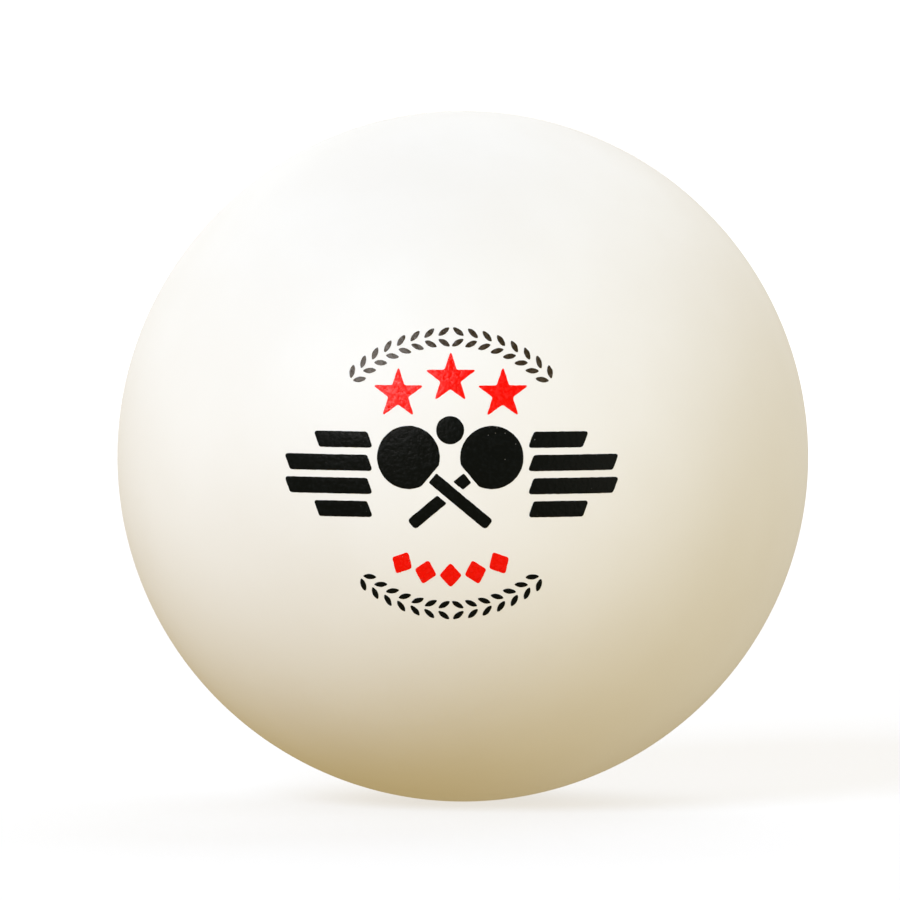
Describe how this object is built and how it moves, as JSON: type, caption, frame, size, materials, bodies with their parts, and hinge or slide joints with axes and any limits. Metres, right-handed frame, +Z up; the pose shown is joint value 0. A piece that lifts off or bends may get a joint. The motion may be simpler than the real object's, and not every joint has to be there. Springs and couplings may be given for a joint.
{
  "type": "table tennis ball",
  "caption": "Hollow white plastic table tennis ball of the 40+ class: two cemented half shells, with a printed grade mark of stars, crossed bats, bars and sprigs.",
  "frame": {"origin": "the ball's centre", "axes": "+Z up as the print is read; the printed half faces -Y; +Y is the moulding axis, from the printed half to the plain half; the seam between the halves lies in the XZ plane"},
  "size_m": [0.0402, 0.0404, 0.0402],
  "materials": {
    "shell": "fine matte, moulded",
    "cement": "dull, set flush",
    "black_ink": "satin ink",
    "red_ink": "satin ink"
  },
  "bodies": {
    "root": {"front_half_shell": "shell", "rear_half_shell": "shell", "seam_cement": "cement", "bats_emblem": "black_ink", "left_bars": "black_ink", "right_bars": "black_ink", "upper_sprig": "black_ink", "lower_sprig": "black_ink", "grade_star_1": "red_ink", "grade_star_2": "red_ink", "grade_star_3": "red_ink", "red_lozenges": "red_ink"}
  },
  "joints": []
}
